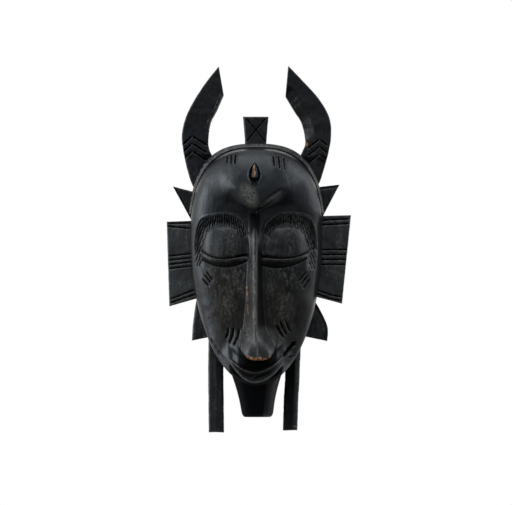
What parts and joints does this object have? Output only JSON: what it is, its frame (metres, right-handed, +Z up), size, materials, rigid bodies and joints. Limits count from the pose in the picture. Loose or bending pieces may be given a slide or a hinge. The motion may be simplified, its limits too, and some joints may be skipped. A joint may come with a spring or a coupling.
{
  "type": "carved wooden wall mask",
  "caption": "Black-stained carved wooden mask: long oval face with closed eyes, horns, crest, ear plates, legs and beard, hollow behind, with a keyhole hanger.",
  "frame": {"origin": "centre of the hanger keyhole's round entry, on the back plane that meets the wall", "axes": "+Z up, the face looks along -Y, the back plane is y = 0, +X is to the viewer's right"},
  "size_m": [0.1658, 0.0787, 0.3293],
  "materials": {
    "stained_wood": "black stain, satin polish worn brown on edges",
    "hanger_plate": "dull yellow-zinc plated",
    "screws": "dull plated"
  },
  "bodies": {
    "root": {"face_shell": "stained_wood", "back_rim": "stained_wood", "crown_band": "stained_wood", "crest_block": "stained_wood", "left_horn": "stained_wood", "right_horn": "stained_wood", "left_ear_spike": "stained_wood", "right_ear_spike": "stained_wood", "left_ear_plate": "stained_wood", "right_ear_plate": "stained_wood", "left_jaw_fin": "stained_wood", "right_jaw_fin": "stained_wood", "left_leg": "stained_wood", "right_leg": "stained_wood", "beard": "stained_wood", "keyhole_plate": "hanger_plate", "plate_screws": "screws"}
  },
  "joints": []
}
